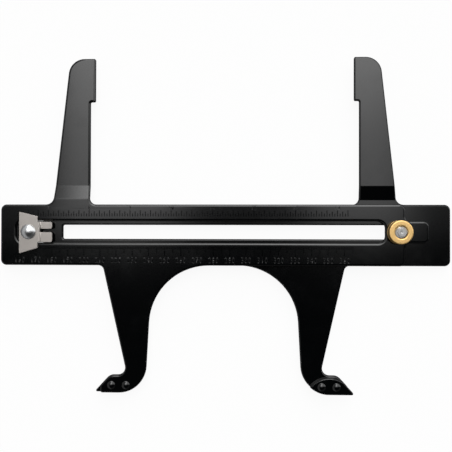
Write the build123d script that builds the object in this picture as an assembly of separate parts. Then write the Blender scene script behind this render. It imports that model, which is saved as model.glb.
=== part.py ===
from build123d import *
import math
import os

# Brake drum gauge, closed, lying on its back: +X along the bar to the right, +Y towards the jaws, +Z up
# through the plates. Lengths are in millimetres, angles in degrees. Distances along x are measured from
# the middle of the closed gauge, and along y from the centre line of the slots. The outline is that of
# the front plate. The back plate is the same blank turned over. Each half is laid out from its toe, so a
# wider span over the feet moves the two halves apart.

# Sheet
plate_t = 3.0
running_gap = 0.1
edge_break = 0.65
bend_r = 3.0

# Working sizes
feet_span = 160.0
shoe_clearance = 0.5

# Bar and the flat tongue at its end
bar_overhang = 58.2
bar_top = 16.9
bar_bottom = 20.6
bar_corner_r = 3.5
body_setback = 27.8
tongue_len = 14.2
tongue_w = 13.3
tongue_corner_r = 3.0
tongue_root_r = 3.0

# Slots
slot_clearance = 0.1
slot_end_wall = 9.7
slot_to_clamp = 8.1
wide_slot_r = 4.5
narrow_slot_w = 8.7
narrow_slot_setback = 28.2
narrow_slot_r = 1.0
neck_room = 6.6

# Arm with its stepped jaw
arm_top = 107.5
arm_root_w = 25.95
arm_top_w = 15.9
arm_corner_r = 10.0
arm_root_outer_r = 5.0
arm_root_inner_r = 4.0
jaw_h = 26.9
jaw_step = 3.15
jaw_corner_r = 1.0
step_r = 0.9

# Joggle of the arm, which brings both jaws into one plane
joggle_start = 3.2
joggle_run = 8.2

# Leg and foot, with distances along x back from the toe
leg_outer_back = 5.4
leg_inner_back = 36.0
leg_root_r = 3.5
arch_r = 37.0
foot_bottom = 98.9
foot_top = 87.9
ankle_back = 20.7
sole_back = 31.8
heel_r = 4.5
instep_r = 6.0
sole_r = 17.0
toe_angle = 47.4
toe_cut = 4.1
toe_r = 1.5

# Wear pads, each held by two dome-head rivets
pad_t = 3.0
pad_arc_r = 15.0
pad_arc_back = 15.2
pad_arc_top = 88.9
pad_edge_break = 0.4
pad_shoulder_r = 3.0
pad_tip_r = 0.8
foot_rivet_d = 3.0
foot_rivet_head_d = 5.0
foot_rivet_head_h = 1.2
foot_rivet_rim = 0.15
foot_rivet_y = 94.2
foot_rivet_backs = {"inner": 20.1, "outer": 11.1}
foot_rivet_band_count = 3

# Joggle of the back plate's tongue, forward into the wide slot
tongue_step_setback = 0.5
tongue_step_run = 1.6
tongue_bend_r = 1.2
tongue_tip_gap = 0.3

# Pointer: a tapered blade with two prongs that drop into the wide slot
pointer_t = 1.2
pointer_lift = 0.3
pointer_bend_r = 0.4
blade_setback = 2.3
blade_len = 11.5
blade_left_top = 12.3
blade_left_bottom = 13.4
blade_right_top = 9.5
blade_right_bottom = 10.0
blade_corner_r = 0.5
prong_top = 6.05
prong_bottom = 6.4
prong_len = 8.8
prong_r = 1.2
prong_drop_setback = 0.4
prong_drop_run = 0.7
prong_sink = 0.5
slit_top = 1.85
slit_bottom = 0.3
slit_setback = 1.3
slit_r = 0.3

# Rivet of the pointer
pointer_rivet_setback = 5.7
pointer_rivet_d = 3.4
pointer_rivet_head_d = 9.2
pointer_rivet_head_h = 2.6
pointer_rivet_rim = 0.3
pointer_rivet_band_count = 4

# Clamp: a cup-head screw with a square neck in the narrow slot, and a round nut
clamp_setback = 4.0
screw_d = 8.0
screw_play = 0.4
screw_head_d = 16.0
screw_head_h = 3.3
screw_head_rim = 0.8
screw_head_band_count = 4
neck_play = 0.2
neck_short = 0.3
neck_corner_r = 0.6
screw_proud = 1.2
screw_tip_chamfer = 1.0
nut_d = 14.4
nut_h = 7.2
nut_thread_play = 0.3
nut_countersink_d = 8.8
nut_chamfer = 0.5
nut_groove_z = 1.3
nut_groove_w = 0.8
nut_groove_depth = 0.35

# Layers, from the surface that the gauge lies on
back_z = screw_head_h
back_top = back_z + plate_t
front_z = back_top + running_gap
front_top = front_z + plate_t
blade_z = front_top + pointer_lift
prong_z = front_top - prong_sink
nut_z = front_top

# Places that follow from the sizes above
toe_x = feet_span / 2
toe_slope = math.tan(math.radians(toe_angle))
jaw_x = (feet_span - shoe_clearance) / 2
bar_end = toe_x + bar_overhang
body_end = bar_end - body_setback
tongue_end = body_end + tongue_len
clamp_x = body_end - clamp_setback
leg_root_outer = toe_x - leg_outer_back
leg_root_inner = toe_x - leg_inner_back
ankle = toe_x - ankle_back
sole_inner = toe_x - sole_back
pad_arc_x = toe_x - pad_arc_back
wide_slot_left = bar_end - slot_end_wall
wide_slot_right = clamp_x - slot_to_clamp
narrow_slot_start = wide_slot_left - narrow_slot_setback
narrow_slot_end = clamp_x + neck_room
blade_left = wide_slot_left - blade_setback
blade_right = blade_left - blade_len
prong_end = blade_right - prong_len
prong_drop_x = blade_right - prong_drop_setback
slit_start = blade_right - slit_setback
pointer_rivet_x = blade_left - pointer_rivet_setback
tongue_step_x = blade_right - tongue_step_setback
foot_rivet_xs = {place: toe_x - back for place, back in foot_rivet_backs.items()}
slot_half = tongue_w / 2 + slot_clearance
neck_w = narrow_slot_w - neck_play
hidden_tongue_end = wide_slot_left - tongue_tip_gap
spare = 5.0

# The origin lies under the middle of the closed gauge
centre_shift = (foot_bottom - arm_top) / 2


def rounded(corners):
    """A flat face from a closed list of (x, y, corner radius)."""
    points = [(x, y) for x, y, _ in corners]
    radii = [radius for _, _, radius in corners]
    return make_face(FilletPolyline(points, radius=radii, close=True).edges())


def slot_face(x_from, x_to, width, corner_r):
    return Pos((x_from + x_to) / 2, 0) * RectangleRounded(x_to - x_from, width, corner_r)


def toe_edge_x(y):
    """Where the slanted front edge of the foot is at a height."""
    return -toe_x + (y + foot_bottom) / toe_slope


def blank_face(tip, tip_r):
    """Outline of the blank: bar, arm with the stepped jaw, leg, foot and a tongue out to tip."""
    arm_inner = -(jaw_x + jaw_step)
    jaw_bottom = arm_top - jaw_h
    cut_x = -(toe_x - toe_cut)
    cut_y = toe_cut * toe_slope - foot_bottom
    half = tongue_w / 2
    return rounded([
        (-bar_end, bar_top, bar_corner_r),
        (-(jaw_x + arm_root_w), bar_top, arm_root_outer_r),
        (-(jaw_x + arm_top_w), arm_top, arm_corner_r),
        (-jaw_x, arm_top, jaw_corner_r),
        (-jaw_x, jaw_bottom, step_r),
        (arm_inner, jaw_bottom, step_r),
        (arm_inner, bar_top, arm_root_inner_r),
        (body_end, bar_top, bar_corner_r),
        (body_end, half, tongue_root_r),
        (tip, half, tip_r),
        (tip, -half, tip_r),
        (body_end, -half, tongue_root_r),
        (body_end, -bar_bottom, bar_corner_r),
        (-leg_root_inner, -bar_bottom, arch_r),
        (-sole_inner, -foot_bottom, sole_r),
        (cut_x, -foot_bottom, toe_r),
        (cut_x, cut_y, toe_r),
        (toe_edge_x(-foot_top), -foot_top, instep_r),
        (-ankle, -foot_top, heel_r),
        (-leg_root_outer, -bar_bottom, leg_root_r),
        (-bar_end, -bar_bottom, bar_corner_r),
    ])


def sheet_profile(underside, thickness, inner_r):
    """Side view of a bent sheet of even thickness, from the corner points of its underside."""
    points = [Vector(*point) for point in underside]
    ways = [(b - a).normalized() for a, b in zip(points, points[1:])]
    normals = [Vector(-way.Y, way.X) for way in ways]
    upper = [points[0] + normals[0] * thickness]
    under_radii = [0.0]
    upper_radii = [0.0]
    for point, before, after in zip(points[1:], normals, normals[1:]):
        upper.append(point + (before + after) * (thickness / (1 + before.dot(after))))
        turns_up = after.X < before.X
        under_radii.append(inner_r + thickness if turns_up else inner_r)
        upper_radii.append(inner_r if turns_up else inner_r + thickness)
    upper.append(points[-1] + normals[-1] * thickness)
    radii = under_radii + [0.0, 0.0] + upper_radii[::-1]
    return make_face(FilletPolyline(points + upper[::-1], radius=radii, close=True).edges())


def plate_sheet(base, step, x_to):
    """The sheet of a plate, stepped up or down where the arm leaves the bar."""
    bend = bar_top + joggle_start
    side = sheet_profile([
        (-foot_bottom - spare, base),
        (bend, base),
        (bend + joggle_run, base + step),
        (arm_top + spare, base + step),
    ], plate_t, bend_r)
    x_from = -bar_end - spare
    return Pos(x_from, 0, 0) * extrude(Plane.YZ * side, amount=x_to - x_from)


def tongue_sheet(x_from):
    """The sheet of the hidden tongue, stepped forward so that its top carries the blade."""
    rise = blade_z - back_top
    fold = math.atan2(rise, tongue_step_run)
    under_x = tongue_step_x + plate_t * math.tan(fold / 2)
    side = sheet_profile([
        (x_from, back_z),
        (under_x, back_z),
        (under_x + tongue_step_run, back_z + rise),
        (hidden_tongue_end + spare, back_z + rise),
    ], plate_t, tongue_bend_r)
    return extrude(Plane.XZ * side, amount=tongue_w, both=True)


def break_edges(solid, size):
    """Takes the sharp corner off the long edges of a stamped sheet, on both faces."""
    walls = [face for face in solid.faces() if abs(face.normal_at().Z) < 0.2]
    rims = []
    for wall in walls:
        rims += [edge for edge in wall.edges() if abs(edge.tangent_at(0.5).Z) < 0.95]
    return chamfer(rims, size)


def drill(solid, x, y, diameter):
    hole = Cylinder(diameter / 2, 4 * blade_z)
    return solid - Pos(x, y, 0) * hole


def drill_foot(solid):
    for x in foot_rivet_xs.values():
        solid = drill(solid, -x, -foot_rivet_y, foot_rivet_d)
    return solid


def stamp(outline, sheet):
    """The plate that an outline cuts from a bent sheet, with its edges broken."""
    return break_edges(extrude(outline, amount=2 * blade_z) & sheet, edge_break)


def make_front_plate():
    outline = blank_face(tongue_end, tongue_corner_r)
    outline -= slot_face(-wide_slot_left, wide_slot_right, 2 * slot_half, wide_slot_r)
    plate = stamp(outline, plate_sheet(front_z, -plate_t / 2, tongue_end + spare))
    return drill(drill_foot(plate), clamp_x, 0, screw_d + screw_play)


def make_back_plate():
    outline = blank_face(hidden_tongue_end, wide_slot_r - slot_clearance)
    outline -= slot_face(-narrow_slot_end, narrow_slot_start, narrow_slot_w, narrow_slot_r)
    flat_to = (body_end + tongue_step_x) / 2
    sheet = plate_sheet(back_z, plate_t / 2, flat_to) + tongue_sheet(flat_to)
    plate = drill_foot(stamp(outline, sheet))
    plate = drill(plate, pointer_rivet_x, 0, pointer_rivet_d)
    return mirror(plate, about=Plane.YZ)


def make_foot_pad():
    """A wear pad on z 0, with the toe and curved sole of the foot, and an arched upper edge."""
    leg_slope = (sole_inner - leg_root_inner) / (foot_bottom - bar_bottom)
    apex_rise = (toe_x - sole_inner) / (1 / toe_slope - leg_slope)
    sole = rounded([
        (-toe_x, -foot_bottom, pad_tip_r),
        (toe_edge_x(apex_rise - foot_bottom), apex_rise - foot_bottom, 0),
        (-sole_inner, -foot_bottom, sole_r),
    ])
    arc_centre = Vector(-pad_arc_x, -pad_arc_top - pad_arc_r, pad_t / 2)
    toe_w = toe_x - pad_arc_x
    toe_h = foot_bottom - foot_rivet_y
    toe = Pos(-toe_x + toe_w / 2, -foot_bottom + toe_h / 2) * Rectangle(toe_w, toe_h)
    arch = Pos(arc_centre.X, arc_centre.Y) * Circle(pad_arc_r) + toe
    pad = extrude(sole, amount=pad_t) & extrude(arch, amount=pad_t)
    upright = pad.edges().filter_by(Axis.Z)
    arch_ends = upright.sort_by(lambda edge: abs((edge.center() - arc_centre).length - pad_arc_r))[:2]
    shoulder = min(arch_ends, key=lambda edge: edge.center().X)
    pad = fillet(shoulder, pad_shoulder_r)
    return drill_foot(break_edges(pad, pad_edge_break))


def dome_points(across, height, bands):
    """Points up a spherical dome from its rim to its top, one for each conical band that stands for it."""
    radius = (across * across / 4 + height * height) / (2 * height)
    half_angle = math.asin(across / 2 / radius)
    angles = [half_angle * (bands - step) / bands for step in range(bands + 1)]
    return [(radius * math.sin(a), height - radius * (1 - math.cos(a))) for a in angles]


def dome_pin(shank_d, grip, head, bands):
    """A round pin from z 0 up to its grip, then a domed head. The head is (diameter, height, rim)."""
    head_d, head_h, rim = head
    dome = [(x, grip + rim + z) for x, z in dome_points(head_d, head_h - rim, bands)]
    shank = [(0, 0), (shank_d / 2, 0), (shank_d / 2, grip), (head_d / 2, grip)]
    section = Polyline(*shank, *dome, close=True)
    return revolve(Plane.XZ * make_face(section.edges()), axis=Axis.Z)


def rivet(x, y, z_from, z_to, shank_d, head, bands):
    """A dome-head rivet through the layers from z_from to z_to, its other end set flush."""
    return Pos(x, y, z_from) * dome_pin(shank_d, z_to - z_from, head, bands)


def make_pointer():
    """The tapered blade and its two prongs, cut from a sheet that steps down into the slot."""
    outline = rounded([
        (-blade_left, blade_left_top, blade_corner_r),
        (-blade_right, blade_right_top, blade_corner_r),
        (-blade_right, prong_top, 0),
        (-prong_end, prong_top, prong_r),
        (-prong_end, slit_top, prong_r),
        (-slit_start, slit_top, slit_r),
        (-slit_start, -slit_bottom, slit_r),
        (-prong_end, -slit_bottom, prong_r),
        (-prong_end, -prong_bottom, prong_r),
        (-blade_right, -prong_bottom, 0),
        (-blade_right, -blade_right_bottom, blade_corner_r),
        (-blade_left, -blade_left_bottom, blade_corner_r),
    ])
    side = sheet_profile([
        (-blade_left - spare, blade_z),
        (-prong_drop_x, blade_z),
        (-prong_drop_x + prong_drop_run, prong_z),
        (-prong_end + spare, prong_z),
    ], pointer_t, pointer_bend_r)
    sheet = extrude(Plane.XZ * side, amount=2 * blade_left_bottom, both=True)
    blade = extrude(outline, amount=4 * blade_z) & sheet
    return drill(blade, -pointer_rivet_x, 0, pointer_rivet_d)


def make_clamp_screw():
    """Cup head below the back plate, square neck in its slot, shank up through the front plate."""
    top = nut_z + nut_h + screw_proud
    shank = Pos(0, 0, back_z) * extrude(Circle(screw_d / 2), amount=top - back_z)
    shank = chamfer(shank.edges().sort_by(Axis.Z)[-1], screw_tip_chamfer)
    neck = extrude(RectangleRounded(neck_w, neck_w, neck_corner_r), amount=plate_t - neck_short)
    head = (screw_head_d, screw_head_h, screw_head_rim)
    cup = mirror(dome_pin(screw_d, screw_d, head, screw_head_band_count), about=Plane.XY)
    return Pos(clamp_x, 0, 0) * (Pos(0, 0, back_z + screw_d) * cup + Pos(0, 0, back_z) * neck + shank)


def make_clamp_nut():
    """A round nut with chamfered rims, a groove near its base and a countersunk mouth."""
    bore = (screw_d + nut_thread_play) / 2
    rim = nut_d / 2
    mouth = nut_countersink_d / 2
    groove_top = nut_groove_z + nut_groove_w
    section = Polyline(
        (bore, 0),
        (rim - nut_chamfer, 0),
        (rim, nut_chamfer),
        (rim, nut_groove_z),
        (rim - nut_groove_depth, nut_groove_z + nut_groove_depth),
        (rim - nut_groove_depth, groove_top - nut_groove_depth),
        (rim, groove_top),
        (rim, nut_h - nut_chamfer),
        (rim - nut_chamfer, nut_h),
        (mouth, nut_h),
        (bore, nut_h - (mouth - bore)),
        close=True,
    )
    nut = revolve(Plane.XZ * make_face(section.edges()), axis=Axis.Z)
    return Pos(clamp_x, 0, nut_z) * nut


def foot_rivets(side, z_from, z_to):
    """The two rivets of one foot, by name. Side is -1 for the left foot and 1 for the right."""
    head = (foot_rivet_head_d, foot_rivet_head_h, foot_rivet_rim)
    return {
        place: rivet(side * x, -foot_rivet_y, z_from, z_to, foot_rivet_d, head, foot_rivet_band_count)
        for place, x in foot_rivet_xs.items()
    }


def make_nodes():
    pad = make_foot_pad()
    front_pad_z = front_z - pad_t
    nodes = {
        "front_plate": make_front_plate(),
        "back_plate": make_back_plate(),
        "pointer": make_pointer(),
        "pointer_rivet": rivet(
            -pointer_rivet_x, 0, blade_z - plate_t, blade_z + pointer_t, pointer_rivet_d,
            (pointer_rivet_head_d, pointer_rivet_head_h, pointer_rivet_rim), pointer_rivet_band_count,
        ),
        "clamp_screw": make_clamp_screw(),
        "clamp_nut": make_clamp_nut(),
        "front_foot_pad": Pos(0, 0, front_pad_z) * pad,
        "back_foot_pad": Pos(0, 0, back_top) * mirror(pad, about=Plane.YZ),
    }
    for place, pin in foot_rivets(-1, front_pad_z, front_top).items():
        nodes[f"front_foot_rivet_{place}"] = pin
    for place, pin in foot_rivets(1, back_z, back_top + pad_t).items():
        nodes[f"back_foot_rivet_{place}"] = pin
    return nodes


def main():
    os.makedirs("parts", exist_ok=True)
    for name, solid in make_nodes().items():
        export_step(Pos(0, centre_shift, 0) * solid, f"parts/{name}.step")


main()
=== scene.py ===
import math

import bmesh
import bpy
import numpy as np
from bpy.props import FloatProperty, FloatVectorProperty, IntProperty, PointerProperty
from mathutils import Matrix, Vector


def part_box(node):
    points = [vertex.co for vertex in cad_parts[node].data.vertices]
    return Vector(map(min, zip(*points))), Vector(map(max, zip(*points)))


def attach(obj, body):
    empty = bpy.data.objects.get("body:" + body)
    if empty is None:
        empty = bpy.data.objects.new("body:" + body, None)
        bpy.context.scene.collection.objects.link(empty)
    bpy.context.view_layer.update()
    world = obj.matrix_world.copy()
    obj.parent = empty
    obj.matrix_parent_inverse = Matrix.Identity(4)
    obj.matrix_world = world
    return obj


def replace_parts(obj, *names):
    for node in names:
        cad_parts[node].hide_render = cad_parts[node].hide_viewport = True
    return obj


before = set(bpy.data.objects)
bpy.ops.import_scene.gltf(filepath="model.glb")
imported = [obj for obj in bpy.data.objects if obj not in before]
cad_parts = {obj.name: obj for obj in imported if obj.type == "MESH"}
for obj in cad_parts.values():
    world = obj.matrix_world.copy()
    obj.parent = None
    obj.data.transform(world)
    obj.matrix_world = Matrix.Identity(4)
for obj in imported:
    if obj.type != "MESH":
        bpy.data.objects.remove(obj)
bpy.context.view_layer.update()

bl_info = {
    "name": "Brake drum gauge",
    "version": (1, 0, 0),
    "blender": (4, 5, 0),
    "location": "View3D > Sidebar > Gauge",
    "description": "Finishes a sliding brake drum gauge: painted plates, stamped scales, pointer and clamp",
    "category": "Object",
}

MM = 0.001
INCH = 0.0254
CREASE = 0.6


# Shader building

class Signal:
    """One varying number of a material. Arithmetic on it adds Math nodes."""

    def __init__(self, finish, socket):
        self.finish = finish
        self.socket = socket

    def __add__(self, other):
        return self.finish.math("ADD", self, other)

    def __sub__(self, other):
        return self.finish.math("SUBTRACT", self, other)

    def __rsub__(self, other):
        return self.finish.math("SUBTRACT", other, self)

    def __mul__(self, other):
        return self.finish.math("MULTIPLY", self, other)

    def __truediv__(self, other):
        return self.finish.math("DIVIDE", self, other)

    def __pow__(self, other):
        return self.finish.math("POWER", self, other)

    __radd__ = __add__
    __rmul__ = __mul__


class NodeWork:
    """Adds nodes to a tree: one method for any node, and short names for the common ones."""

    def __init__(self, tree):
        self.tree = tree

    def node(self, kind, settings=None, inputs=None, output=0):
        """A node of that type. Its settings are set first, then each input gets a value or a link."""
        node = self.tree.nodes.new(kind)
        for key, value in (settings or {}).items():
            if key == "stops":
                ramp = node.color_ramp
                while len(ramp.elements) < len(value):
                    ramp.elements.new(1.0)
                for element, (place, colour) in zip(ramp.elements, value):
                    element.position = place
                    element.color = (*colour, 1.0)
            else:
                setattr(node, key, value)
        for key, value in (inputs or {}).items():
            if isinstance(value, Signal):
                self.tree.links.new(value.socket, node.inputs[key])
            else:
                node.inputs[key].default_value = value
        return Signal(self, node.outputs[output])

    def math(self, operation, *values):
        return self.node("ShaderNodeMath", {"operation": operation}, dict(enumerate(values)))

    def step(self, value, low, high):
        """0 below low, 1 above high, and a smooth S between them."""
        return self.node(
            "ShaderNodeMapRange", {"interpolation_type": "SMOOTHSTEP"},
            {"Value": value, "From Min": low, "From Max": high},
        )

    def blend(self, factor, first, second):
        """The colour that is first where the factor is 0 and second where it is 1."""
        colours = {0: factor, 6: first, 7: second}
        return self.node("ShaderNodeMix", {"data_type": "RGBA"}, colours, output=2)

    def noise(self, place, scale, detail=2.0, roughness=0.5):
        """Smooth noise around 0.5, with that many cells to a metre."""
        return self.node(
            "ShaderNodeTexNoise", None,
            {"Vector": place, "Scale": scale, "Detail": detail, "Roughness": roughness},
        )

    def stretch(self, place, scale, centre=(0.0, 0.0, 0.0), turn=0.0):
        """The place moved so that centre is the origin, then turned about Z and scaled."""
        moved = self.node(
            "ShaderNodeVectorMath", {"operation": "SUBTRACT"}, {0: place, 1: tuple(centre)},
        )
        return self.node(
            "ShaderNodeMapping", None,
            {"Vector": moved, "Rotation": (0.0, 0.0, turn), "Scale": scale},
        )

    def axes(self, place):
        """The three numbers of a place."""
        split = self.tree.nodes.new("ShaderNodeSeparateXYZ")
        self.tree.links.new(place.socket, split.inputs[0])
        return [Signal(self, split.outputs[k]) for k in range(3)]


class Finish(NodeWork):
    """A material built around one Principled shader, with its constants set on the shader's sockets."""

    def __init__(self, name, constants):
        self.material = bpy.data.materials.new(name)
        self.material.use_nodes = True
        super().__init__(self.material.node_tree)
        self.shader = self.tree.nodes["Principled BSDF"]
        for socket, value in constants.items():
            self.shader.inputs[socket].default_value = value
        self.place = self.node("ShaderNodeTexCoord", output=3)

    def feed(self, socket, signal):
        self.tree.links.new(signal.socket, self.shader.inputs[socket])

    def relief(self, height, depth):
        """Bump of that depth in metres where the height goes from 0 to 1."""
        self.feed("Normal", self.node(
            "ShaderNodeBump", None, {"Height": height, "Distance": depth, "Strength": 1.0},
        ))


def rgba(colour, level=1.0):
    return (*(channel * level for channel in colour), 1.0)


def paint_finish(paint):
    """Stove-baked black paint: an even gloss with fine orange peel, slow waves and faint handling haze."""
    finish = Finish("stove_paint", {"IOR": 1.5})
    place = finish.place
    peel = finish.noise(place, 620.0, 3.0, 0.55)
    waves = finish.noise(place, 34.0, 1.0)
    haze = finish.step(finish.noise(place, 75.0, 4.0, 0.6), 0.45, 0.75)
    hairs = finish.noise(finish.stretch(place, (900.0, 25000.0, 900.0), turn=0.35), 1.0, 2.0)
    hairlines = finish.step(hairs, 0.66, 0.74)
    specks = finish.step(finish.noise(place, 5200.0, 1.0), 0.74, 0.8)
    tone = finish.blend(haze * 0.5, rgba(paint.colour), rgba(paint.haze_colour))
    tone = finish.blend(specks * 0.35, tone, rgba(paint.dust_colour))
    finish.feed("Base Color", tone)
    finish.feed("Roughness", paint.roughness + haze * 0.03 + hairlines * 0.04 + specks * 0.12)
    finish.relief(peel * 0.35 + waves * 3.0 - hairlines * 0.06, paint.peel_depth)
    return finish.material


def nickel_finish(metals):
    """Satin nickel on thin sheet: fine brushing across the blade, with soft cloudy wear."""
    finish = Finish("satin_nickel", {"Metallic": 1.0})
    place = finish.place
    brushing = finish.noise(finish.stretch(place, (1200.0, 26000.0, 1200.0), turn=math.pi / 2), 1.0, 3.0)
    clouds = finish.noise(place, 260.0, 3.0, 0.6)
    tone = finish.blend(clouds, rgba(metals.nickel, 0.94), rgba(metals.nickel, 1.04))
    tone = finish.blend(finish.step(brushing, 0.45, 0.8) * 0.25, tone, rgba(metals.nickel, 0.8))
    finish.feed("Base Color", tone)
    finish.feed("Roughness", 0.34 + clouds * 0.08 + brushing * 0.08)
    finish.relief(brushing, 3e-6)
    return finish.material


def polished_finish(metals):
    """Burnished steel of the dome heads, with a few fine scuffs."""
    finish = Finish("burnished_steel", {"Metallic": 1.0})
    place = finish.place
    clouds = finish.noise(place, 700.0, 3.0, 0.6)
    scuffs = finish.step(
        finish.noise(finish.stretch(place, (1500.0, 22000.0, 1500.0), turn=0.9), 1.0, 2.0), 0.62, 0.75,
    )
    finish.feed("Base Color", finish.blend(clouds, rgba(metals.steel, 0.9), rgba(metals.steel, 1.0)))
    finish.feed("Roughness", 0.28 + clouds * 0.06 + scuffs * 0.06)
    finish.relief(scuffs, 4e-7)
    return finish.material


def turned_finish(name, centre, colour, warm, roughness, pitch, depth):
    """Lathe-turned metal: rings round the centre at that pitch, tool chatter and a little staining.
    The rings are a sine of the distance from the centre plus the height, shaken by noise."""
    finish = Finish(name, {"Metallic": 1.0})
    around = finish.stretch(finish.place, (1.0, 1.0, 1.0), centre)
    x, y, z = finish.axes(around)
    distance = (x * x + y * y) ** 0.5
    shake = finish.noise(finish.place, 500.0, 2.0)
    phase = (distance + z) * (2 * math.pi / pitch) + shake * 3.0
    rings = finish.math("SINE", phase) * 0.5 + 0.5
    grain = finish.noise(finish.place, 3000.0, 3.0, 0.6)
    stain = finish.step(finish.noise(finish.place, 220.0, 3.0), 0.5, 0.8)
    tone = finish.blend(rings * 0.5 + grain * 0.4, rgba(colour, 0.9), rgba(colour, 1.05))
    tone = finish.blend(stain * 0.35, tone, rgba(warm))
    finish.feed("Base Color", tone)
    finish.feed("Roughness", roughness + grain * 0.1 + stain * 0.06)
    finish.relief(rings * 0.6 + grain * 0.4, depth)
    return finish.material


# Meshes

def put_mesh(name, vertices, faces):
    """A mesh from arrays: vertices in metres, faces as rows of vertex numbers."""
    mesh = bpy.data.meshes.new(name)
    mesh.from_pydata(vertices.tolist(), [], faces)
    mesh.validate()
    return mesh


def lathe(rings, turns):
    """Grid of a turned surface about Z. The rings are (height, radius) pairs in the order of the outline, and
    a radius is one number or one for each angle. Ring h, angle a gives (r cos a, r sin a, h)."""
    angle = np.linspace(0.0, 2 * math.pi, turns, endpoint=False)
    heights = np.array([height for height, _ in rings])
    radii = np.array([np.broadcast_to(radius, turns) for _, radius in rings])
    return np.stack([
        radii * np.cos(angle), radii * np.sin(angle), np.broadcast_to(heights[:, None], radii.shape),
    ], axis=-1)


def closed_grid(grid, poles):
    """Vertices and faces of a grid that runs once round, its rows going up with the outside to their right.
    With poles, its first and last rows are single points. Without, the last row joins the first."""
    turns = grid.shape[1]
    column = np.arange(turns)
    after = (column + 1) % turns
    body = grid[1:-1] if poles else grid
    count = body.shape[0]
    vertices = body.reshape(-1, 3)
    lower = np.arange(count - 1 if poles else count)[:, None] * turns
    upper = (lower + turns) % (count * turns)
    quads = np.stack([lower + column, lower + after, upper + after, upper + column], axis=-1)
    faces = quads.reshape(-1, 4).tolist()
    if poles:
        bottom, top = count * turns, count * turns + 1
        vertices = np.concatenate([vertices, grid[0, :1], grid[-1, :1]])
        faces += np.stack([np.full(turns, bottom), after, column], axis=-1).tolist()
        last = (count - 1) * turns
        faces += np.stack([np.full(turns, top), last + column, last + after], axis=-1).tolist()
    return vertices, faces


def arc(centre, radius, start, end, steps):
    """Points (r, z) of an arc in the plane through the axis, angles from +r towards +z."""
    angles = np.linspace(start, end, steps)
    return [(centre[0] + radius * math.cos(a), centre[1] + radius * math.sin(a)) for a in angles]


def evaluated(holder):
    """The mesh of an object with its modifiers applied. The object is removed."""
    bpy.context.view_layer.update()
    result = bpy.data.meshes.new_from_object(holder.evaluated_get(bpy.context.evaluated_depsgraph_get()))
    bpy.data.objects.remove(holder)
    return result


def held(mesh):
    """A passing object that carries a mesh or a curve through its modifiers."""
    holder = bpy.data.objects.new("holder", mesh)
    bpy.context.scene.collection.objects.link(holder)
    return holder


def read(items, name, kind=float, width=1):
    """One value of every item as an array, with a row for each item where the value has several numbers."""
    values = np.zeros(len(items) * width, kind)
    items.foreach_get(name, values)
    return values.reshape(-1, width) if width > 1 else values


def edge_sides(mesh):
    """The first and the last face at each edge, as two arrays of face numbers."""
    sizes = read(mesh.polygons, "loop_total", np.int32)
    edges = read(mesh.loops, "edge_index", np.int32)
    order = np.argsort(edges, kind="stable")
    faces = np.repeat(np.arange(len(sizes)), sizes)[order]
    every = np.arange(len(mesh.edges))
    first = faces[np.searchsorted(edges[order], every)]
    last = faces[np.searchsorted(edges[order], every, side="right") - 1]
    return first, last


def shaded(mesh):
    """Smooth shading, with edges sharper than CREASE kept, and flat areas shaded flat up to their rims. Faces
    on the second material slot are worn softer, and keep fewer sharp edges. An edge is sharp where its faces'
    normals multiply to less than the cosine of CREASE."""
    mesh.polygons.foreach_set("use_smooth", np.ones(len(mesh.polygons), bool))
    mesh.set_sharp_from_angle(angle=CREASE)
    slots = read(mesh.polygons, "material_index", np.int32)
    normals = read(mesh.polygons, "normal", width=3)
    first, last = edge_sides(mesh)
    turn = (normals[first] * normals[last]).sum(1)
    sharp = (turn < math.cos(CREASE)) & (slots[first] + slots[last] == 0)
    marks = mesh.attributes.get("sharp_edge") or mesh.attributes.new("sharp_edge", "BOOLEAN", "EDGE")
    marks.data.foreach_set("value", sharp | read(marks.data, "value", bool))
    mesh.polygons.foreach_set("material_index", np.zeros_like(slots))
    holder = held(mesh)
    weighting = holder.modifiers.new("flat", "WEIGHTED_NORMAL")
    weighting.keep_sharp = True
    weighting.weight = 100
    return evaluated(holder)


def show(name, mesh, body, material):
    """Makes the object of a finished mesh, on its body and in its finish."""
    mesh.materials.clear()
    mesh.materials.append(material)
    piece = bpy.data.objects.new(name, mesh)
    bpy.context.scene.collection.objects.link(piece)
    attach(piece, body)
    return piece


def merged_copy(node):
    """The CAD node's mesh as a new closed mesh, its flat areas made single faces."""
    shell = bmesh.new()
    shell.from_mesh(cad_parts[node].data)
    bmesh.ops.remove_doubles(shell, verts=shell.verts, dist=2e-6)
    bmesh.ops.dissolve_limit(shell, angle_limit=0.01, verts=shell.verts, edges=shell.edges)
    mesh = bpy.data.meshes.new(node + "_skin")
    shell.to_mesh(mesh)
    shell.free()
    return mesh


def rolled_over(mesh, width, drop, side):
    """The mesh with its face on that side (1 top, -1 bottom) falling away towards its rim, as a stamping die
    leaves it: by the whole drop at the rim's chamfer, by a quarter of it half a width further in, and by
    nothing a width in. A small corner arc shrinks to nothing on the way, and is welded so that it can't
    turn inside out."""
    level_enough = 0.85
    corner_weld = 0.2 * MM
    shell = bmesh.new()
    shell.from_mesh(mesh)
    top = [face for face in shell.faces if face.normal.z * side > level_enough]
    for share in (1.0, 0.25):
        strip = bmesh.ops.inset_region(
            shell, faces=top, thickness=width / 2, use_even_offset=True, use_boundary=True)["faces"]
        for face in strip:
            face.material_index = 0
        for face in top:
            face.material_index = 1
        kept = {vertex for face in top for vertex in face.verts}
        for vertex in {vertex for face in strip for vertex in face.verts} - kept:
            vertex.co.z -= drop * share * side
        bmesh.ops.remove_doubles(shell, verts=list(kept), dist=corner_weld)
        top = [face for face in shell.faces if face.material_index == 1]
    for face in shell.faces:
        face.material_index = 0
    shell.to_mesh(mesh)
    shell.free()
    return mesh


def two_slots(mesh):
    """Gives the mesh two empty material slots, which keep stamped digits apart from the rest."""
    mesh.materials.append(None)
    mesh.materials.append(None)


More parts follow.
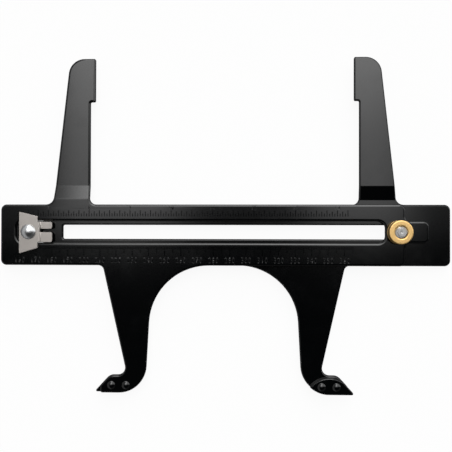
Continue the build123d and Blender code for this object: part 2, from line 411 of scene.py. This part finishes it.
def finished(mesh, roll, cutter=None):
    """The mesh with its edges rolled over by a small bevel, then cut by the cutter, as a new mesh."""
    holder = held(mesh)
    bevel = holder.modifiers.new("roll", "BEVEL")
    bevel.limit_method = "ANGLE"
    bevel.angle_limit = math.radians(28)
    bevel.width = roll
    bevel.segments = 2
    bevel.use_clamp_overlap = False
    if cutter:
        two_slots(mesh)
        cut = holder.modifiers.new("stamp", "BOOLEAN")
        cut.operation = "DIFFERENCE"
        cut.solver = "EXACT"
        cut.object = cutter
    return shaded(evaluated(holder))


# Scales

def tick_prisms(places, low, high, width, top, depth, clear):
    """One wedge for each tick: at x = place, from y low to high, width wide at the sheet's top and a tenth of
    that at its floor, a depth below. It stands clear above the sheet, so that it cuts through."""
    corners = np.array([(side, end, level) for level in (0, 1) for end in (0, 1) for side in (-1, 1)])
    half = np.where(corners[:, 2] == 0, width * 0.05, width * (0.5 + 0.45 * clear / depth))
    x = places[:, None] + corners[:, 0] * half
    y = np.where(corners[:, 1] == 0, np.asarray(low)[:, None], np.asarray(high)[:, None])
    z = np.broadcast_to(np.where(corners[:, 2] == 0, top - depth, top + clear), x.shape)
    vertices = np.stack([x, y, z], axis=-1).reshape(-1, 3)
    sides = np.array([(0, 2, 3, 1), (4, 5, 7, 6), (0, 1, 5, 4), (2, 6, 7, 3), (0, 4, 6, 2), (1, 3, 7, 5)])
    faces = (sides + 8 * np.arange(len(places))[:, None, None]).reshape(-1, 4)
    return vertices, faces.tolist()


def digit_wedge(digit, slope):
    """A closed solid of one digit, 1 high with its foot on y 0, centred on x 0. Its strokes are widest at
    z 0, and narrow by the slope to their ends at z -1 and 1. The outline is first thinned by the slope, but
    not for a 2, whose sharp heel would fold over itself."""
    curve = bpy.data.curves.new("digit", "FONT")
    curve.body = digit
    curve.bevel_depth = slope
    curve.bevel_resolution = 0
    curve.offset = 0.0 if digit == "2" else -slope
    curve.resolution_u = 3
    shell = bmesh.new()
    shell.from_mesh(evaluated(held(curve)))
    bmesh.ops.remove_doubles(shell, verts=shell.verts, dist=1e-5)
    bmesh.ops.recalc_face_normals(shell, faces=shell.faces)
    shell.verts.index_update()
    points = np.array([vertex.co for vertex in shell.verts])
    faces = [[vertex.index for vertex in face.verts] for face in shell.faces]
    shell.free()
    low, high = points.min(0), points.max(0)
    points[:, 0] -= (low[0] + high[0]) / 2
    points[:, 1] -= low[1]
    points[:, :2] /= high[1] - low[1]
    points[:, 2] /= slope
    return points, faces


def label_wedges(labels, glyphs, height, pitch, aspect, top, depth, clear):
    """Wedges of the labels, each (text, x, y) centred on x with its foot at y, digits one pitch apart."""
    vertices, faces, count = [], [], 0
    for text, x, y in labels:
        for k, digit in enumerate(text):
            points, sides = glyphs[digit]
            middle = x + (k - (len(text) - 1) / 2) * pitch
            scaled = points * (height * aspect, height, depth + clear)
            vertices.append(scaled + (middle, y, top + clear))
            faces += [[vertex + count for vertex in side] for side in sides]
            count += len(points)
    return np.concatenate(vertices), faces


class GaugeScales(bpy.types.PropertyGroup):
    middle: FloatProperty(
        name="Middle of the bar", description="Y of the bar's middle line, from which the scales are placed",
        default=-4.3 * MM, unit="LENGTH", precision=5)
    tick_width: FloatProperty(
        name="Tick width", description="Width of a stamped tick at the sheet's surface",
        default=0.55 * MM, unit="LENGTH", precision=5)
    tick_depth: FloatProperty(
        name="Tick depth", description="How deep the ticks are stamped",
        default=0.25 * MM, unit="LENGTH", precision=5)
    digit_depth: FloatProperty(
        name="Digit depth", description="How deep the digits are stamped",
        default=0.1 * MM, unit="LENGTH", precision=5)
    inch_digit: FloatProperty(
        name="Inch digit height", description="Height of the digits of the inch scale",
        default=2.5 * MM, unit="LENGTH", precision=5)
    metric_digit: FloatProperty(
        name="Metric digit height", description="Height of the digits of the millimetre scale",
        default=3.7 * MM, unit="LENGTH", precision=5)


class GaugePaint(bpy.types.PropertyGroup):
    colour: FloatVectorProperty(
        name="Paint", description="Colour of the black paint", subtype="COLOR",
        default=(0.0006, 0.0008, 0.0010), min=0.0, max=1.0)
    haze_colour: FloatVectorProperty(
        name="Haze", description="Colour of the paint where handling has hazed it", subtype="COLOR",
        default=(0.0013, 0.0016, 0.0019), min=0.0, max=1.0)
    dust_colour: FloatVectorProperty(
        name="Dust", description="Colour of the specks on the paint", subtype="COLOR",
        default=(0.012, 0.012, 0.012), min=0.0, max=1.0)
    roughness: FloatProperty(
        name="Roughness", description="Roughness of the clean paint", default=0.11, min=0.0, max=1.0)
    peel_depth: FloatProperty(
        name="Orange peel", description="Depth of the paint's orange peel",
        default=5e-6, unit="LENGTH", precision=6)
    rim_width: FloatProperty(
        name="Rim width", description="Width of the band inside the broken edge that falls away to the rim",
        default=0.7 * MM, unit="LENGTH", precision=5)
    rim_drop: FloatProperty(
        name="Rim drop", description="How far the top has fallen where the broken edge starts",
        default=0.13 * MM, unit="LENGTH", precision=5)
    edge_roll: FloatProperty(
        name="Edge roll", description="Width of the small rounding beside each broken edge",
        default=0.2 * MM, unit="LENGTH", precision=5)


class GaugeMetals(bpy.types.PropertyGroup):
    nickel: FloatVectorProperty(
        name="Nickel", description="Colour of the pointer", subtype="COLOR",
        default=(0.52, 0.485, 0.455), min=0.0, max=1.0)
    steel: FloatVectorProperty(
        name="Steel", description="Colour of the polished dome heads", subtype="COLOR",
        default=(0.64, 0.65, 0.66), min=0.0, max=1.0)
    brass: FloatVectorProperty(
        name="Brass", description="Colour of the clamp nut", subtype="COLOR",
        default=(0.90, 0.60, 0.245), min=0.0, max=1.0)
    brass_stain: FloatVectorProperty(
        name="Brass stain", description="Colour of the stains on the clamp nut", subtype="COLOR",
        default=(0.78, 0.48, 0.22), min=0.0, max=1.0)
    screw: FloatVectorProperty(
        name="Screw", description="Colour of the clamp screw", subtype="COLOR",
        default=(0.62, 0.62, 0.61), min=0.0, max=1.0)
    screw_stain: FloatVectorProperty(
        name="Screw stain", description="Colour of the stains on the clamp screw", subtype="COLOR",
        default=(0.42, 0.40, 0.36), min=0.0, max=1.0)


class GaugeClamp(bpy.types.PropertyGroup):
    thread_pitch: FloatProperty(
        name="Thread pitch", description="Distance between two turns of the screw's thread",
        default=1.25 * MM, unit="LENGTH", precision=5)
    thread_depth: FloatProperty(
        name="Thread depth", description="Depth of the thread of screw and nut",
        default=0.6 * MM, unit="LENGTH", precision=5)
    thread_gap: FloatProperty(
        name="Thread gap", description="Gap between the threads of screw and nut",
        default=0.08 * MM, unit="LENGTH", precision=5)
    shank: FloatProperty(
        name="Screw radius", description="Radius of the screw over its thread",
        default=3.85 * MM, unit="LENGTH", precision=5)
    centre_mark: FloatProperty(
        name="Centre mark", description="Diameter of the lathe's centre mark in the screw's end",
        default=1.0 * MM, unit="LENGTH", precision=5)
    turns: IntProperty(
        name="Steps round", description="Faces once round a turned piece", default=96, min=24, max=512)


class GaugeStage(bpy.types.PropertyGroup):
    floor_colour: FloatVectorProperty(
        name="Floor", description="Colour of the floor", subtype="COLOR",
        default=(0.86, 0.86, 0.86), min=0.0, max=1.0)
    # painted reflection: the floor's colour as glossy rays see it, darker than the white floor the camera
    # sees
    mirrored_floor: FloatVectorProperty(
        name="Mirrored floor", description="Colour of the floor as gloss shows it", subtype="COLOR",
        default=(0.10, 0.10, 0.11), min=0.0, max=1.0)
    light_level: FloatProperty(
        name="Light level", description="Brightness of the large soft lights", default=1.0, min=0.0)
    camera_height: FloatProperty(
        name="Camera height", description="Height of the camera above the floor",
        default=0.41298, unit="LENGTH", precision=5)


GROUPS = {
    "gauge_scales": GaugeScales,
    "gauge_paint": GaugePaint,
    "gauge_metals": GaugeMetals,
    "gauge_clamp": GaugeClamp,
    "gauge_stage": GaugeStage,
}


def material(name, maker, *sizes, **settings):
    """The named material, made the first time it is asked for."""
    return bpy.data.materials.get(name) or maker(*sizes, **settings)


# Operators

class GAUGE_OT_stage(bpy.types.Operator):
    """Sets the floor, the soft lights and the camera above the gauge"""

    bl_idname = "gauge.stage"
    bl_label = "Stage"

    def execute(self, context):
        sizes = context.scene.gauge_stage
        self.camera(context, sizes)
        self.floor(context, sizes)
        self.lights(context, sizes)
        context.scene.view_settings.view_transform = "Standard"
        return {"FINISHED"}

    def camera(self, context, sizes):
        """Looks down, turned a little by yaw about Y, pitch about X and roll about Z, in that order. The
        lens is the sensor's width times the focal length over the image width, both in pixels."""
        focal_length, image_width = 660.0, 452.0
        x, y = 16.867 * MM, -4.955 * MM
        yaw, pitch, roll = (math.radians(angle) for angle in (2.174, -0.620, -0.117))
        axes = Matrix.Rotation(roll, 3, "Z") @ Matrix.Rotation(pitch, 3, "X") @ Matrix.Rotation(-yaw, 3, "Y")
        data = bpy.data.cameras.new("camera")
        data.sensor_width = 36.0
        data.lens = focal_length / image_width * data.sensor_width
        data.clip_start = 0.01
        camera = bpy.data.objects.new("camera", data)
        camera.matrix_world = Matrix.Translation((x, y, sizes.camera_height)) @ axes.transposed().to_4x4()
        context.scene.collection.objects.link(camera)
        context.scene.camera = camera

    def floor(self, context, sizes):
        """A large flat sheet at z 0. It shows white with a faint share of shade. To glossy rays it shows a
        darker colour, a painted reflection that is darker than the white floor the camera sees.
        """
        reach, white_share = 4.0, 0.93
        corners = np.array([(-1, -1, 0), (1, -1, 0), (1, 1, 0), (-1, 1, 0)]) * reach
        mesh = put_mesh("floor", corners, [[0, 1, 2, 3]])
        finish = bpy.data.materials.new("floor_white")
        finish.use_nodes = True
        work = NodeWork(finish.node_tree)
        work.tree.nodes.remove(work.tree.nodes["Principled BSDF"])
        rays = work.tree.nodes.new("ShaderNodeLightPath")
        # painted reflection: glossy rays see the floor in the darker mirrored colour, the camera sees it
        # white
        mirrored = Signal(work, rays.outputs["Is Glossy Ray"])
        tone = work.blend(mirrored, rgba(sizes.floor_colour), rgba(sizes.mirrored_floor))
        shade = work.node("ShaderNodeBsdfDiffuse", None, {"Color": tone})
        glow = work.node("ShaderNodeEmission", None, {"Color": (1.0, 1.0, 1.0, 1.0)})
        mixed = work.node("ShaderNodeMixShader", None, {0: self.seen(work) * white_share, 1: shade, 2: glow})
        work.tree.links.new(mixed.socket, work.tree.nodes["Material Output"].inputs[0])
        mesh.materials.append(finish)
        floor = bpy.data.objects.new("floor", mesh)
        context.scene.collection.objects.link(floor)

    def seen(self, work):
        """1 for a ray of the camera or through glass."""
        rays = work.tree.nodes.new("ShaderNodeLightPath")
        return work.math("MAXIMUM", *(
            Signal(work, rays.outputs[name]) for name in ("Is Camera Ray", "Is Transmission Ray")
        ))

    def lights(self, context, sizes):
        """A large soft light beyond the jaws, reaching down near the horizon, with two arms towards the
        gauge, and a dim one on the left. With (x, y, z) the way a ray goes, s = x / z and t = y / z are its
        place on a ceiling, and the light rises with t. Past the arms it narrows to a fan of
        s / (t + 0.6)."""
        strength = 4.9 * sizes.light_level
        world = bpy.data.worlds.new("studio")
        world.use_nodes = True
        context.scene.world = world
        work = NodeWork(world.node_tree)
        x, y, z = work.axes(work.node("ShaderNodeTexCoord"))
        up = work.math("MAXIMUM", z, 0.02)
        s, t = x / up, y / up
        rise = work.node("ShaderNodeValToRGB", {"stops": [
            (place, (level,) * 3) for place, level in (
                (0.00, 0.003), (0.09, 0.006), (0.14, 0.03), (0.19, 0.27), (0.23, 0.40),
                (0.40, 0.49), (0.52, 0.65), (0.68, 0.90), (0.84, 1.0),
            )
        ]}, {0: (t + 0.1) / 0.6})
        low = 1 - work.step(t, 0.4, 0.8)
        left = work.step(s, -0.32, -0.27) * (1 - work.step(s, -0.17, -0.06)) * low * 0.95
        right = work.step(s, 0.04, 0.14) * (1 - work.step(s, 0.20, 0.27)) * low * 0.75
        bearing = s / (work.math("MAXIMUM", t, 0.0) + 0.6)
        lean = work.step(t, 1.5, 3.0) * 0.35 + (1 - work.step(t, 0.9, 1.3)) * 0.2
        spread = work.step(bearing + lean, -0.1, 0.08) * (1 - work.step(bearing, 0.19, 0.27) * 0.7)
        high = work.step(t, 0.12, 0.45) * spread
        width = work.math("MINIMUM", left + right + high + 0.12, 1.0)
        boxes = rise * width * (1 - work.step(t, 2.5, 6.0)) * strength
        side = (1 - work.step(s, -1.1, -0.7)) * 0.5
        horizon = (1 - work.step(z, 0.3, 0.75)) * 0.1 + 0.008
        glow = work.math("MAXIMUM", boxes, work.math("MAXIMUM", side, horizon))
        dark = work.node("ShaderNodeEmission", None, {"Color": (1.0, 1.0, 1.0, 1.0), "Strength": glow})
        white = work.node("ShaderNodeEmission", None, {"Color": (1.0, 1.0, 1.0, 1.0)})
        mixed = work.node("ShaderNodeMixShader", None, {0: self.seen(work), 1: dark, 2: white})
        work.tree.links.new(mixed.socket, work.tree.nodes["World Output"].inputs[0])


class GAUGE_OT_plates(bpy.types.Operator):
    """Finishes the two sliding plates, with rolled edges and the stamped scales"""

    bl_idname = "gauge.plates"
    bl_label = "Plates"

    def execute(self, context):
        paint = context.scene.gauge_paint
        coat = material("stove_paint", paint_finish, paint)
        cutter = self.stamps(context)
        for node, body, name, side, tool in (
            ("front_plate", "front_half", "front_plate_stamped", 1, cutter),
            ("back_plate", "back_half", "back_plate_rolled", -1, None),
        ):
            mesh = rolled_over(merged_copy(node), paint.rim_width, paint.rim_drop, side)
            mesh = finished(mesh, paint.edge_roll, tool)
            piece = show(name, mesh, body, coat)
            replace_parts(piece, node)
        bpy.data.objects.remove(cutter)
        return {"FINISHED"}

    def stamps(self, context):
        """All ticks and digits of both scales as one cutter, the digits on its second material slot. A
        tick's x is its value less the reading at x 0."""
        sizes = context.scene.gauge_scales
        top = 9.4 * MM
        clear = 0.05 * MM
        zero = 286.2 * MM
        slope = 0.02
        glyphs = {digit: digit_wedge(digit, slope) for digit in "0123456789"}
        middle = sizes.middle
        quarter, eighth, sixteenth = 13.3 * MM, 12.6 * MM, 11.35 * MM
        ten, five, one = 14.7 * MM, 12.9 * MM, 10.7 * MM
        inch_start, metric_start = 9.5 * MM, 8.9 * MM
        inch_pitch, metric_pitch = 1.9 * MM, 2.3 * MM
        inch_aspect, metric_aspect = 0.75, 0.66
        sixteenths = np.arange(6 * 16 + 4, 14 * 16 + 5)
        inch_x = sixteenths * INCH / 16 - zero
        inch_top = middle + np.select(
            [sixteenths % 4 == 0, sixteenths % 2 == 0], [quarter, eighth], sixteenth)
        inch_low = np.full(len(inch_x), middle + inch_start)
        inch_ticks = tick_prisms(inch_x, inch_low, inch_top, sizes.tick_width, top, sizes.tick_depth, clear)
        steps = np.arange(160, 366)
        metric_x = steps * MM - zero
        metric_low = middle - np.select([steps % 10 == 0, steps % 5 == 0], [ten, five], one)
        metric_top = np.full(len(metric_x), middle - metric_start)
        metric_ticks = tick_prisms(
            metric_x, metric_low, metric_top, sizes.tick_width, top, sizes.tick_depth, clear)
        inch_foot = middle + 13.6 * MM
        inch_labels = label_wedges(
            [(str(value), value * INCH - zero, inch_foot) for value in range(7, 15)],
            glyphs, sizes.inch_digit, inch_pitch, inch_aspect, top, sizes.digit_depth, clear)
        metric_foot = middle - 15.3 * MM - sizes.metric_digit
        metric_labels = label_wedges(
            [(str(value), value * MM - zero, metric_foot) for value in range(160, 361, 10)],
            glyphs, sizes.metric_digit, metric_pitch, metric_aspect, top, sizes.digit_depth, clear)
        vertices, faces, count = [], [], 0
        for points, sides in (inch_ticks, metric_ticks, inch_labels, metric_labels):
            vertices.append(points)
            faces += [[vertex + count for vertex in side] for side in sides]
            count += len(points)
        mesh = put_mesh("stamps", np.concatenate(vertices), faces)
        two_slots(mesh)
        ticks = len(inch_ticks[1]) + len(metric_ticks[1])
        mesh.polygons.foreach_set("material_index", (np.arange(len(mesh.polygons)) >= ticks).astype(np.int32))
        cutter = bpy.data.objects.new("stamps", mesh)
        context.scene.collection.objects.link(cutter)
        return cutter


class GAUGE_OT_pads(bpy.types.Operator):
    """Finishes the two wear pads on the feet"""

    bl_idname = "gauge.pads"
    bl_label = "Foot pads"

    def execute(self, context):
        paint = context.scene.gauge_paint
        coat = material("stove_paint", paint_finish, paint)
        for side in ("front", "back"):
            mesh = finished(merged_copy(f"{side}_foot_pad"), paint.edge_roll / 2)
            piece = show(f"{side}_foot_pad_rolled", mesh, f"{side}_half", coat)
            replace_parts(piece, f"{side}_foot_pad")
        return {"FINISHED"}


class GAUGE_OT_pointer(bpy.types.Operator):
    """Finishes the bright pointer with its two prongs"""

    bl_idname = "gauge.pointer"
    bl_label = "Pointer"

    def execute(self, context):
        coat = material("satin_nickel", nickel_finish, context.scene.gauge_metals)
        mesh = finished(merged_copy("pointer"), 0.1 * MM)
        piece = show("pointer_blade", mesh, "back_half", coat)
        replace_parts(piece, "pointer")
        return {"FINISHED"}


class GAUGE_OT_rivets(bpy.types.Operator):
    """Makes the dome-head rivets of the pointer and of both foot pads"""

    bl_idname = "gauge.rivets"
    bl_label = "Rivets"

    def execute(self, context):
        turns = context.scene.gauge_clamp.turns
        steel = material("burnished_steel", polished_finish, context.scene.gauge_metals)
        paint = material("stove_paint", paint_finish, context.scene.gauge_paint)
        rows = [("pointer_rivet", "back_half", 2.6 * MM, 0.3 * MM, 3.4 * MM, "polished_steel", steel)]
        for side in ("front", "back"):
            for place in ("inner", "outer"):
                rows.append((
                    f"{side}_foot_rivet_{place}", f"{side}_half", 1.2 * MM, 0.15 * MM, 3.0 * MM,
                    "black_paint", paint,
                ))
        for node, body, head, rim, shank, slot, coat in rows:
            mesh = self.rivet(node, head, rim, shank, turns)
            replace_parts(show(f"{node}_dome", mesh, body, coat), node)
        return {"FINISHED"}

    def rivet(self, node, head, rim, shank, turns):
        """A round pin and its domed head, turned about Z. The dome is a circle of radius
        (a^2 + h^2) / 2h for a head of half width a and a dome of height h, with a chamfered rim below it."""
        low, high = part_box(node)
        centre = (low + high) / 2
        half = (high.x - low.x) / 2
        dome = head - rim
        radius = (half * half + dome * dome) / (2 * dome)
        reach = math.asin(half / radius)
        crown = arc((0.0, high.z - radius), radius, math.pi / 2 - reach, math.pi / 2, 14)
        under = high.z - head
        profile = [(0.0, low.z), (shank / 2, low.z), (shank / 2, under), (half - rim / 3, under)]
        profile += [(half, under + rim / 3)] + crown
        rings = [(height, max(r, 0.0)) for r, height in profile]
        grid = lathe(rings, turns)
        grid[..., 0] += centre.x
        grid[..., 1] += centre.y
        return shaded(put_mesh(node, *closed_grid(grid, poles=True)))


class GAUGE_OT_clamp(bpy.types.Operator):
    """Makes the clamp: the turned brass nut, and the threaded screw with its square neck and cup head"""

    bl_idname = "gauge.clamp"
    bl_label = "Clamp"

    def execute(self, context):
        sizes = context.scene.gauge_clamp
        metals = context.scene.gauge_metals
        head_inset = 0.8 * MM
        nut_low, nut_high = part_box("clamp_nut")
        screw_low, screw_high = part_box("clamp_screw")
        centre = (nut_low + nut_high) / 2
        axis = (centre.x, centre.y, 0.0)
        brass = material(
            "lathe_brass", turned_finish, "lathe_brass", axis, metals.brass, metals.brass_stain,
            roughness=0.38, pitch=0.35 * MM, depth=1.8e-6)
        steel = material(
            "lathe_steel", turned_finish, "lathe_steel", axis, metals.screw, metals.screw_stain,
            roughness=0.24, pitch=0.6 * MM, depth=2.5e-6)
        nut = self.nut(sizes, nut_low.z, nut_high.z, (nut_high.x - nut_low.x) / 2)
        nut += (centre.x, centre.y, 0.0)
        nut = shaded(put_mesh("nut", *closed_grid(nut, poles=False)))
        piece = show("clamp_nut_turned", nut, "nut", brass)
        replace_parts(piece, "clamp_nut")
        head = (screw_high.x - screw_low.x) / 2 - head_inset
        screw = self.screw(sizes, screw_low.z, screw_high.z, head)
        screw += (centre.x, centre.y, 0.0)
        screw = shaded(put_mesh("screw", *closed_grid(screw, poles=True)))
        piece = show("clamp_screw_threaded", screw, "screw", steel)
        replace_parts(piece, "clamp_screw")
        return {"FINISHED"}

    def thread(self, sizes, height, turns):
        """Share of the thread's depth at a height, once round: a triangle wave of height over pitch less
        angle over a full turn. Screw and nut share it, so their threads fit each other at rest, and also
        turned, as the screw goes down by one pitch to a turn of the nut."""
        angle = np.linspace(0.0, 1.0, turns, endpoint=False)
        phase = (height / sizes.thread_pitch - angle) % 1.0
        return np.abs(2.0 * phase - 1.0)

    def nut(self, sizes, low, high, rim):
        """A ring: rounded outer rims, a groove near the base, a countersunk mouth and a threaded bore."""
        turns = sizes.turns
        edge = 0.5 * MM
        bore = sizes.shank + sizes.thread_gap
        mouth = bore + 0.12 * MM
        groove_low, groove_high, groove = low + 1.3 * MM, low + 2.1 * MM, 0.35 * MM
        outer = [(rim - edge, low)] + arc((rim - edge, low + edge), edge, -1.2, 0.0, 5)
        outer += [(rim, groove_low), (rim - groove, groove_low + groove * 0.6)]
        outer += [(rim - groove, groove_high - groove * 0.6), (rim, groove_high)]
        outer += arc((rim - edge, high - edge), edge, 0.0, math.pi / 2, 6)
        face = [(radius, high) for radius in np.linspace(rim - 2 * edge, mouth + 0.15 * MM, 4)]
        cone = [(mouth, high - 0.05 * MM), (bore, high - (mouth - bore))]
        rings = [(z, r) for r, z in outer + face + cone]
        top = high - (mouth - bore) - 0.1 * MM
        fade = 0.5 * sizes.thread_pitch
        rings_a_pitch = 8
        for z in np.linspace(top, low, int(round((top - low) / sizes.thread_pitch * rings_a_pitch))):
            share = min(1.0, (top - z) / fade, (z - low) / fade)
            rings.append((z, bore - sizes.thread_depth * share * self.thread(sizes, z, turns)))
        return lathe(rings, turns)

    def screw(self, sizes, low, high, head):
        """From below: the cup head just clear of the plate, the square neck, and the threaded shank with a
        chamfered end, whose raised and centre-marked middle is turned down all round.
        The neck's radius at angle a is half_neck over the 1/8 power of cos(a)^8 + sin(a)^8."""
        turns = sizes.turns
        plate_under, head_clear = low + 3.3 * MM, 0.02 * MM
        under, rim, half_neck, neck_top = plate_under - head_clear, 0.8 * MM, 4.25 * MM, low + 6.0 * MM
        shank, flat, land, chamfer, raised = sizes.shank, 2.4 * MM, 2.95 * MM, 0.8 * MM, 0.7 * MM
        shoulder = high - raised
        angle = np.linspace(0.0, 2 * math.pi, turns, endpoint=False)
        square = half_neck / (np.cos(angle) ** 8 + np.sin(angle) ** 8) ** 0.125
        dome = under - rim - low
        radius = (head * head + dome * dome) / (2 * dome)
        reach = math.asin(head / radius)
        cup = arc((0.0, low + radius), radius, -math.pi / 2, -math.pi / 2 + reach, 14)
        rings = [(z, max(r, 0.0)) for r, z in cup]
        rings += [(under - 0.15 * MM, head), (under, head - 0.15 * MM), (under, square), (neck_top, square)]
        rings.append((neck_top, shank * 0.98))
        rings_a_pitch = 12
        count = int(round((shoulder - neck_top) / sizes.thread_pitch * rings_a_pitch))
        for z in np.linspace(neck_top, shoulder, count)[1:]:
            cone = land + (shank - land) * (shoulder - z) / chamfer
            rings.append((z, np.minimum(cone, shank - sizes.thread_depth * self.thread(sizes, z, turns))))
        rings += [(shoulder, flat + 0.1 * MM), (shoulder + 0.1 * MM, flat), (high - 0.1 * MM, flat)]
        mark = sizes.centre_mark / 2
        rings += [(high, radius) for radius in np.linspace(flat - 0.05 * MM, mark * 1.6, 4)]
        rings += [(high - 0.02 * MM, mark), (high - 0.3 * MM, mark * 0.35), (high - 0.38 * MM, 0.0)]
        return lathe(rings, turns)


class GAUGE_PT_panel(bpy.types.Panel):
    """Lists the gauge's pieces and their sizes in the sidebar"""

    bl_idname = "GAUGE_PT_panel"
    bl_label = "Brake drum gauge"
    bl_space_type = "VIEW_3D"
    bl_region_type = "UI"
    bl_category = "Gauge"

    def draw(self, context):
        for operator in OPERATORS:
            self.layout.operator(operator.bl_idname)
        for attribute, group in GROUPS.items():
            box = self.layout.box()
            for name in group.__annotations__:
                box.prop(getattr(context.scene, attribute), name)


OPERATORS = (
    GAUGE_OT_stage,
    GAUGE_OT_plates,
    GAUGE_OT_pads,
    GAUGE_OT_pointer,
    GAUGE_OT_rivets,
    GAUGE_OT_clamp,
)


def register():
    for kind in (*GROUPS.values(), *OPERATORS, GAUGE_PT_panel):
        bpy.utils.register_class(kind)
    for attribute, group in GROUPS.items():
        setattr(bpy.types.Scene, attribute, PointerProperty(type=group))


def unregister():
    for attribute in GROUPS:
        delattr(bpy.types.Scene, attribute)
    for kind in (GAUGE_PT_panel, *reversed(OPERATORS), *reversed(GROUPS.values())):
        bpy.utils.unregister_class(kind)


def main():
    register()
    bpy.ops.gauge.stage()
    bpy.ops.gauge.plates()
    bpy.ops.gauge.pads()
    bpy.ops.gauge.pointer()
    bpy.ops.gauge.rivets()
    bpy.ops.gauge.clamp()


if __name__ == "__main__":
    main()
